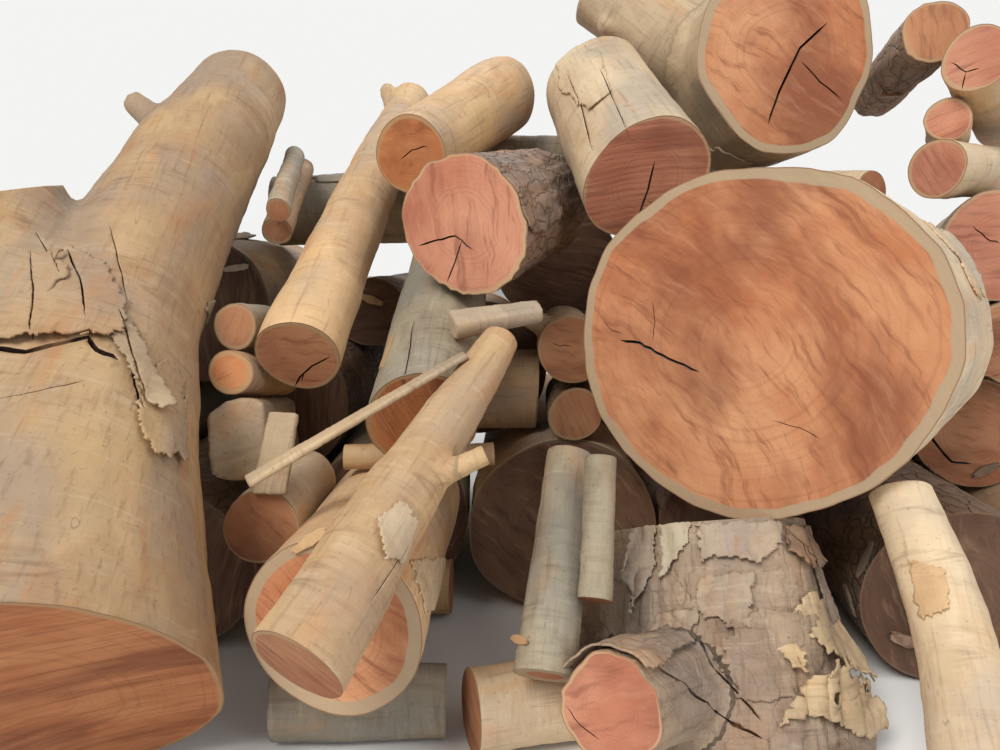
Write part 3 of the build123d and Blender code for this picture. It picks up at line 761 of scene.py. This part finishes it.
def by_place(line, angle, wide, along, long, up=1.0):
    """A plate placed round a stem: degrees round it, and metres along it."""
    start, axis, _ = line
    side, high = across(axis)

    def test(co):
        rel = co - start
        z = rel @ axis
        turn = np.angle(np.exp(1j * (np.arctan2(rel @ high,
                rel @ side) - math.radians(angle)))) / math.radians(wide)
        step = (z - along) / long
        wob = np.array([noise.noise((a * 3.1 + angle, b * 3.1, long)) for a, b in zip(turn, step)])
        return np.abs(turn) ** 3 + np.abs(step) ** 3 < (0.8 + 0.7 * wob), np.clip(0.5 + 0.5 * up * step, 0,
                1)
    return test


def peel(log, name, number, test, lift, curl, thick=0.003, bark=None, only_seen=True):
    """Lifts a plate of bark off a log: a copy of that part of its skin, stood off, curled and thickened."""
    pick(log)
    bpy.ops.object.duplicate()
    plate = bpy.context.object
    plate.name = f"{name}_plate_{number}"
    plate.data.name = plate.name
    mesh = plate.data
    for finer in (True, False):
        mids = gather(mesh.polygons, "center", np.float32, 3).astype(float)
        out = gather(mesh.polygons, "normal", np.float32, 3)
        keep, _ = test(mids)
        keep &= gather(mesh.polygons, "material_index") == 0
        if only_seen:
            keep &= ((mids - np.array(EYE)) * out).sum(1) < 0
        if keep.sum() < 6:
            bpy.data.objects.remove(plate)
            return None
        choose(mesh, ~keep)
        bpy.ops.mesh.delete(type="FACE")
        if finer:
            bpy.ops.mesh.select_all(action="SELECT")
            bpy.ops.mesh.subdivide(number_cuts=1)
        close_mesh()
    co = positions(mesh)
    outward = gather(mesh.vertex_normals, "vector", np.float32, 3)
    _, t = test(co)
    wave = np.array([noise.noise((c[0] * 30, c[1] * 30, c[2] * 30)) for c in co])
    co += outward * (lift + curl * t ** 2 * (1 + 0.5 * wave))[:, None]
    mesh.vertices.foreach_set("co", co.astype(np.float32).ravel())
    mesh.update()
    if bark:
        mesh.materials[0] = BARKS[bark]
    solid = plate.modifiers.new("thickness", "SOLIDIFY")
    solid.thickness = thick
    solid.offset = 0.0
    bpy.ops.object.modifier_apply(modifier=solid.name)
    wear(plate, name)
    return plate


def label(log, ends, lines, seed):
    """Writes the log's own coordinates, and those of its sawn ends, for the materials."""
    mesh = log.data
    co = positions(mesh)
    store(mesh, "log_co", "FLOAT_VECTOR", own_coordinates(co, lines, seed))
    face_co = np.zeros_like(co)
    rho = np.ones(len(co))
    rim_gap = np.zeros(len(co))
    barky, sawn = np.zeros(len(co), bool), np.zeros(len(co), bool)
    users = gather(mesh.loops, "vertex_index")
    slots = np.repeat(gather(mesh.polygons, "material_index"), gather(mesh.polygons, "loop_total"))
    barky[users[slots == 0]] = True
    sawn[users[slots == 1]] = True
    for k, e in enumerate(ends):
        rel = co - e["centre"]
        depth = rel @ e["out"]
        on = sawn & (np.abs(depth) < 0.0001) & (np.linalg.norm(rel, axis=1) < 1.25 * e["reach"] + 0.01)
        side, up = across(e["out"])
        x, y = rel @ side, rel @ up
        angle, away = np.arctan2(y, x), np.hypot(x, y)
        rim = np.nonzero(on & barky)[0]
        if on.sum() < 8 or len(rim) < 8:
            continue
        order = rim[np.argsort(angle[rim])]
        at = np.interp(angle, angle[order], away[order], period=2 * math.pi)
        rho[on] = (away / at)[on]
        rim_gap[on] = np.maximum(0, at - away)[on]
        turn = seed + 1.3 * k
        face_co[on] = np.column_stack((x * math.cos(turn) - y * math.sin(turn),
                x * math.sin(turn) + y * math.cos(turn), depth * 0 + 0.37 * k + seed))[on]
    store(mesh, "face_co", "FLOAT_VECTOR", face_co)
    store(mesh, "rho", "FLOAT", rho)
    store(mesh, "rim_gap", "FLOAT", rim_gap)
    store(mesh, "tone", "FLOAT", np.full(len(co), (seed * 7.31) % 1.0))


# What each log looks like: voxel size, bark, sawn end and relief.
LOOKS = {
    "forked_trunk": dict(voxel=0.0078, bark="tan", end="orange", depth=0.0022, lumps=0.006),
    "slender_log": dict(voxel=0.00715, bark="tan", end="brown", lumps=0.004),
    "upper_pale_log": dict(voxel=0.0078, bark="tan", end="orange", lumps=0.003),
    "red_face_log": dict(voxel=0.0078, bark="rough", end="pink", fissures=0.004),
    "split_face_log": dict(voxel=0.0078, bark="cream", end="pink", lumps=0.004),
    "crotch_log": dict(voxel=0.0091, bark="cream", end="salmon", lumps=0.006),
    "big_round_log": dict(voxel=0.0078, bark="cream", end="salmon", depth=0.002, lumps=0.004),
    "peeling_stump": dict(voxel=0.0078, bark="stump", end="pink", depth=0.003, lumps=0.006, fissures=0.005),
    "front_branch": dict(voxel=0.0052, bark="tan", end="brown", lumps=0.004),
    "low_red_log": dict(voxel=0.0078, bark="tan", end="salmon", lumps=0.003),
    "mid_grey_log": dict(voxel=0.0078, bark="grey", end="orange", lumps=0.003),
    "upright_green_log": dict(voxel=0.0052, bark="grey", end="salmon", lumps=0.002),
    "bent_branch": dict(voxel=0.00585, bark="cream", end="brown", lumps=0.003),
    "grey_branch": dict(voxel=0.0052, bark="grey", end="brown", lumps=0.002),
    "stubbed_log": dict(voxel=0.0065, bark="tan", end="brown", lumps=0.003),
    "small_dark_log": dict(voxel=0.0065, bark="rough", end="brown"),
    "dark_cracked_log": dict(voxel=0.0078, bark="rough", end="brown"),
    "right_pale_log": dict(voxel=0.0078, bark="cream", end="pink"),
    "pale_limb_log": dict(voxel=0.0078, bark="cream", end="pink"),
    "rough_right_log": dict(voxel=0.0078, bark="rough", end="brown", fissures=0.004),
    "striped_log": dict(voxel=0.0078, bark="cream", end="brown"),
    "small_top_log": dict(voxel=0.0078, bark="tan", end="pink"),
    "small_split_log": dict(voxel=0.0078, bark="tan", end="pink"),
    "dark_bark_log": dict(voxel=0.0078, bark="rough", end="brown", fissures=0.003),
    "long_bark_strip": dict(voxel=0.0039, bark="curl", end=None, depth=0.0008, lumps=0.001),
    "pale_slab": dict(voxel=0.0039, bark="curl", end=None, depth=0.0008, lumps=0.001),
    "short_split_piece": dict(voxel=0.0039, bark="cream", end=None, depth=0.001, lumps=0.001),
    "gap_split_block": dict(voxel=0.0065, bark="curl", end=None, depth=0.002, lumps=0.004),
}
# Logs behind the front ones take these barks, and all get the near-black ends as painted shade for the gaps between
# the front logs.
BEHIND = [("grey", "old_painted_shade"), ("rough", "old_painted_shade"), ("tan", "old_painted_shade"), ("rough", "old_painted_shade")]
SMALL = [("tan", "orange"), ("cream", "brown"), ("grey", "brown"), ("tan", "brown")]


def look_of(name, order):
    if name in LOOKS:
        return LOOKS[name]
    low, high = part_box(name)
    small = (high - low).length < 0.48
    bark, end = (SMALL if small else BEHIND)[order % 4]
    return dict(voxel=0.0075 if small else 0.014, bark=bark, end=end)


# Drying cracks, as paths seen from the front.
CRACKS = {
    "forked_trunk": [([(-14, 347), (25, 352), (52, 345), (88, 337), (97, 350), (118, 360)], 0.011, 0.022),
                     ([(30, 252), (35, 290), (33, 340)], 0.004, 0.012), ([(68, 250), (80, 280), (85, 320)],
                         0.004, 0.012),
                     ([(36, 232), (52, 258), (60, 276)], 0.003, 0.01), ([(0, 398), (28, 393), (60, 386),
                         (84, 381)], 0.002, 0.006),
                     ([(118, 312), (127, 345), (135, 385), (142, 412)], 0.005, 0.014), ([(110, 226), (118,
                         262), (128, 300)], 0.002, 0.007)],
    "slender_log": [([(293, 391), (300, 377), (312, 366), (331, 356)], 0.004, 0.03), ([(304, 371), (300,
        388), (297, 396)], 0.003, 0.02)],
    "big_round_log": [([(620, 340), (640, 343), (655, 352), (676, 362), (700, 372)], 0.006, 0.04), ([(652,
        300), (655, 322), (652, 342)], 0.002, 0.012),
                      ([(604, 322), (612, 330), (622, 334)], 0.0018, 0.01), ([(770, 420), (800, 428), (822,
                          440)], 0.002, 0.01)],
    "crotch_log": [([(828, 22), (800, 48), (779, 92), (768, 125)], 0.006, 0.04), ([(800, 60), (820, 82),
        (842, 100)], 0.004, 0.03)],
    "split_face_log": [([(655, 160), (648, 190), (640, 212), (622, 232)], 0.005, 0.035), ([(646, 200),
        (665, 212)], 0.003, 0.02),
                       ([(560, 60), (580, 100), (592, 150)], 0.004, 0.012), ([(600, 70), (618, 110), (630,
                           140)], 0.003, 0.01)],
    "red_face_log": [([(418, 246), (437, 240), (455, 236), (474, 250)], 0.004, 0.03), ([(462, 240), (455,
        262), (447, 282)], 0.0035, 0.03)],
    "upper_pale_log": [([(400, 160), (412, 150), (428, 146)], 0.003, 0.02)],
    "stubbed_log": [([(552, 343), (560, 346), (572, 345)], 0.002, 0.015)],
    "low_red_log": [([(300, 668), (318, 676), (335, 690)], 0.002, 0.015)],
    "front_branch": [([(268, 676), (278, 680), (300, 690)], 0.003, 0.02), ([(372, 600), (392, 570), (410,
        540)], 0.0025, 0.008)],
    "upright_green_log": [([(536, 690), (549, 694), (562, 690)], 0.002, 0.02), ([(549, 680), (550, 703)],
        0.002, 0.02)],
    "peeling_stump": [([(565, 705), (580, 725), (600, 740)], 0.002, 0.015), ([(700, 640), (712, 665), (735,
        690), (760, 720)], 0.005, 0.012),
                      ([(650, 660), (690, 690), (730, 722), (770, 742)], 0.006, 0.014)],
    "dark_cracked_log": [([(922, 424), (941, 450), (952, 462), (972, 464)], 0.006, 0.03)],
    "right_pale_log": [([(972, 225), (986, 238), (1000, 244)], 0.003, 0.02)],
    "small_top_log": [([(950, 62), (966, 72), (980, 68)], 0.003, 0.02), ([(966, 72), (962, 90)], 0.003,
        0.02)],
    "mid_grey_log": [([(400, 400), (408, 360), (414, 320)], 0.003, 0.01)],
}
# Plates and strips of bark that stand off their log, outlined as seen from the front: the
# direction of the loose edge, how far the plate and that edge stand off, and the bark's look.
PLATES = {
    "forked_trunk": [
        ([(-40, 258), (36, 262), (66, 246), (104, 262), (124, 300), (121, 336), (96, 342), (60, 340), (0,
            345), (-40, 345)], (0, 1), 0.001, 0.012, "tan"),
        ([(108, 296), (124, 310), (141, 345), (156, 385), (161, 412), (150, 420), (141, 404), (128, 375),
            (116, 350), (106, 325)], (0.3, 1), 0.002, 0.022, "curl"),
        ([(206, 300), (214, 300), (219, 380), (231, 430), (238, 500), (252, 570), (268, 650), (276, 742),
            (258, 745), (246, 650), (228, 560), (214, 480), (206, 420)], (1, 0.1), 0.002, 0.014, "curl")],
    "peeling_stump": [
        ([(695, 524), (782, 521), (779, 546), (759, 564), (713, 556), (703, 566)], (0, 1), 0.003, 0.009,
            "plate"),
        ([(784, 526), (832, 524), (828, 556), (805, 571), (785, 549)], (0.2, 1), 0.004, 0.012, "rough"),
        ([(698, 577), (756, 572), (749, 592), (752, 628), (703, 618), (696, 600)], (0.5, 1), 0.003, 0.011,
            "plate"),
        ([(660, 607), (700, 600), (699, 625), (652, 637)], (-0.3, 1), 0.003, 0.009, "plate"),
        ([(790, 612), (807, 590), (838, 620), (872, 664), (882, 700), (850, 680), (815, 648)], (0.6, 1),
            0.006, 0.045, "curl"),
        ([(836, 524), (846, 552), (872, 656), (858, 655), (828, 564)], (1, -0.3), 0.008, 0.035, "curl"),
        ([(776, 728), (797, 697), (815, 662), (850, 690), (880, 724), (862, 740), (810, 714)], (0.4, -1),
            0.006, 0.036, "curl"),
        ([(634, 520), (656, 522), (657, 569), (640, 618), (630, 570)], (-1, 0.2), 0.005, 0.02, "plate"),
        ([(662, 522), (692, 522), (690, 540), (664, 584)], (-1, 0.5), 0.003, 0.014, "grey"),
        ([(775, 652), (785, 624), (803, 664), (795, 678)], (0.5, 1), 0.004, 0.02, "curl")],
    "split_face_log": [([(556, 40), (600, 52), (612, 92), (590, 112), (560, 90)], (0, 1), 0.001, 0.005,
        "cream")],
    "red_face_log": [([(500, 160), (540, 170), (560, 215), (535, 235), (505, 200)], (1, 0.4), 0.001, 0.007,
        "rough")],
    "front_branch": [([(376, 520), (402, 500), (418, 520), (404, 560), (382, 560)], (-1, 0.2), 0.001,
        0.006, "cream")],
    "bent_branch": [([(910, 560), (945, 570), (950, 610), (920, 620)], (1, 0.2), 0.001, 0.004, "tan")],
    "low_red_log": [([(408, 560), (440, 560), (450, 600), (425, 612)], (1, 0), 0.001, 0.006, "curl")],
    "dark_cracked_log": [([(860, 330), (900, 350), (905, 390), (870, 380)], (0, 1), 0.001, 0.006, "rough")],
}
# Plates on the sides that the front doesn't show: degrees round the stem and metres along it.
ROUND_PLATES = {
    "peeling_stump": [(40, 26, 0.13, 0.07), (95, 22, 0.19, 0.06), (150, 24, 0.1, 0.06), (200, 22, 0.2,
        0.05), (255, 20, 0.12, 0.05), (320, 22, 0.18, 0.06)],
    "forked_trunk": [(40, 16, 0.35, 0.1), (120, 14, 0.5, 0.08), (200, 16, 0.25, 0.09), (290, 12, 0.45,
        0.12)],
    "big_round_log": [(30, 14, 0.2, 0.07), (110, 12, 0.28, 0.06), (200, 14, 0.15, 0.06), (290, 12, 0.25,
        0.08)],
    "crotch_log": [(20, 16, 0.2, 0.06), (120, 16, 0.3, 0.07), (250, 16, 0.15, 0.06)],
    "base_log_right": [(40, 16, 0.3, 0.1), (130, 14, 0.6, 0.1)],
    "base_log_far_left": [(120, 18, 0.3, 0.1), (200, 14, 0.5, 0.08)],
    "third_log_left": [(90, 16, 0.2, 0.07), (180, 14, 0.4, 0.08)],
    "rear_rest_log": [(60, 18, 0.15, 0.06), (150, 16, 0.3, 0.06)],
}

SKINS = {}
for order, name in enumerate(sorted(frame["nodes"])):
    look = dict(look_of(name, order))
    log, ends, lines = dress(name, cracks=CRACKS.get(name, ()), **look)
    SKINS[name] = BVHTree.FromPolygons([v.co[:] for v in log.data.vertices],
            [p.vertices[:] for p in log.data.polygons])
    number = 0
    for outline, free, lift, curl, bark in PLATES.get(name, ()):
        number += 1
        peel(log, name, number, by_view(outline, free), lift, curl, bark=bark)
    for angle, wide, along, long in ROUND_PLATES.get(name, ()):
        number += 1
        peel(log, name, number, by_place(lines[0], angle, wide, along, long, 1 if number % 2 else -1),
                0.002, 0.012, bark=None, only_seen=False)


# Splinters and bark chips, lying where they are seen from the front: place in the view, length,
# width, thickness, turn in degrees and look.
CHIPS = [
    (388, 352, 0.08, 0.012, 0.005, 38, "tan"), (372, 300, 0.05, 0.016, 0.005, 20, "tan"),
    (500, 652, 0.05, 0.022, 0.005, 40, "tan"), (520, 640, 0.04, 0.012, 0.004, -20, "tan"),
    (448, 640, 0.055, 0.015, 0.005, 70, "plate"), (432, 585, 0.045, 0.02, 0.005, -10, "plate"),
    (236, 268, 0.05, 0.014, 0.005, -8, "plate"), (310, 540, 0.05, 0.014, 0.005, -35, "tan"),
    (850, 600, 0.05, 0.02, 0.005, 65, "plate"), (905, 640, 0.05, 0.02, 0.006, 20, "rough"),
    (866, 560, 0.06, 0.014, 0.005, 80, "plate"), (985, 470, 0.05, 0.02, 0.005, -30, "rough"),
    (880, 118, 0.05, 0.016, 0.005, 35, "plate"), (890, 95, 0.05, 0.014, 0.005, 70, "tan"),
]


def chip(number, u, v, length, width, thick, turn, bark):
    """Lays one splinter on whatever is seen at a place in the view."""
    way, best = ray(u, v), None
    for name, tree in SKINS.items():
        place, out, _, far = tree.ray_cast(Vector(EYE), way)
        if place is not None and (best is None or far < best[3]):
            best = (name, place, out, far)
    if best is None:
        return
    name, place, out, _ = best
    bpy.ops.object.select_all(action="DESELECT")
    bpy.ops.mesh.primitive_cube_add(size=1)
    piece = bpy.context.object
    piece.name = f"chip_{number}"
    piece.data.name = piece.name
    open_mesh()
    bpy.ops.mesh.select_all(action="SELECT")
    bpy.ops.mesh.subdivide(number_cuts=5)
    close_mesh()
    mesh = piece.data
    co = positions(mesh)
    store(mesh, "log_co", "FLOAT_VECTOR", co * (width, thick, length) + (number * 1.3, number * 0.7,
            number * 0.9))
    store(mesh, "tone", "FLOAT", np.full(len(co), (number * 0.37) % 1.0))
    ends = np.abs(co[:, 0]) * 2
    narrow = np.array([1 - 0.45 * e ** 2 + 0.35 * noise.noise((c[0] * 4, number * 2.7, 0)) for e,
            c in zip(ends, co)])
    ragged = np.array([noise.noise((c[1] * 7, c[2] * 7, number)) for c in co])
    bend = 0.35 * (co[:, 0] ** 2) * (number % 3 - 1)
    co = np.column_stack(((co[:, 0] + 0.16 * ragged * ends ** 2) * length, co[:, 1] * narrow * width,
                          co[:, 2] * thick * (0.6 + 0.4 * narrow) + bend * thick * 2))
    normal = np.array(out)
    along, other = across(normal)
    a = math.radians(turn)
    along, other = along * math.cos(a) + other * math.sin(a), other * math.cos(a) - along * math.sin(a)
    co = np.array(place) + co[:, :1] * along + co[:, 1:2] * other + co[:,
            2:] * normal + normal * thick * 0.35
    mesh.vertices.foreach_set("co", co.astype(np.float32).ravel())
    mesh.materials.append(BARKS[bark])
    mesh.update()
    bevel = piece.modifiers.new("worn edges", "BEVEL")
    bevel.width = thick * 0.12
    pick(piece)
    bpy.ops.object.modifier_apply(modifier=bevel.name)
    wear(piece, name)


for number, values in enumerate(CHIPS):
    chip(number + 1, *values)


# Floor, light and camera.

def plain(name, colour, rough):
    material = bpy.data.materials.new(name)
    material.use_nodes = True
    shader = material.node_tree.nodes["Principled BSDF"]
    shader.inputs["Base Color"].default_value = (*colour, 1.0)
    shader.inputs["Roughness"].default_value = rough
    return material


bpy.ops.object.select_all(action="DESELECT")
bpy.ops.mesh.primitive_plane_add(size=30, location=(0, 0, 0))
floor = bpy.context.object
floor.name = "floor"
floor.data.transform(Matrix.Translation((0, 0, cad_box[0][2] - 0.001)))
floor.data.materials.append(plain("pale floor", (0.8, 0.79, 0.77), 0.85))

world = bpy.data.worlds.new("soft sky")
bpy.context.scene.world = world
world.use_nodes = True
tree = world.node_tree
back = tree.nodes["Background"]
back.inputs["Color"].default_value = (0.86, 0.88, 0.9, 1)
back.inputs["Strength"].default_value = 0.5
shown = add(tree, "ShaderNodeBackground")
shown.inputs["Color"].default_value = (0.9, 0.9, 0.89, 1)
path_kind, either = add(tree, "ShaderNodeLightPath"), add(tree, "ShaderNodeMixShader")
link(tree, path_kind.outputs["Is Camera Ray"], either.inputs[0])
link(tree, back.outputs[0], either.inputs[1])
link(tree, shown.outputs[0], either.inputs[2])
link(tree, either.outputs[0], tree.nodes["World Output"].inputs["Surface"])


def lamp(name, place, aim, size, power, colour=(1, 1, 1)):
    data = bpy.data.lights.new(name, "AREA")
    data.size = size
    data.energy = power
    data.color = colour
    obj = bpy.data.objects.new(name, data)
    bpy.context.scene.collection.objects.link(obj)
    obj.location = place
    obj.rotation_euler = (Vector(aim) - Vector(place)).to_track_quat("-Z", "Y").to_euler()
    return obj


lamp("key light", (-2.2, -3.4, 4.2), (0, 0, 0.6), 2.2, 230, (1.0, 0.97, 0.92))
lamp("fill light", (3.2, -2.6, 2.6), (0, 0, 0.6), 3.0, 70, (0.93, 0.96, 1.0))
lamp("back light", (0.5, 3.6, 3.6), (0, 0, 0.8), 3.0, 90)

camera = bpy.data.objects.new("camera", bpy.data.cameras.new("camera"))
bpy.context.scene.collection.objects.link(camera)
camera.location = EYE
camera.rotation_euler = (math.radians(90 - LOOK_DOWN), 0, 0)
camera.data.sensor_width = 36
camera.data.lens = LENS
camera.data.clip_start = 0.02
bpy.context.scene.camera = camera
bpy.context.scene.view_settings.view_transform = "Standard"
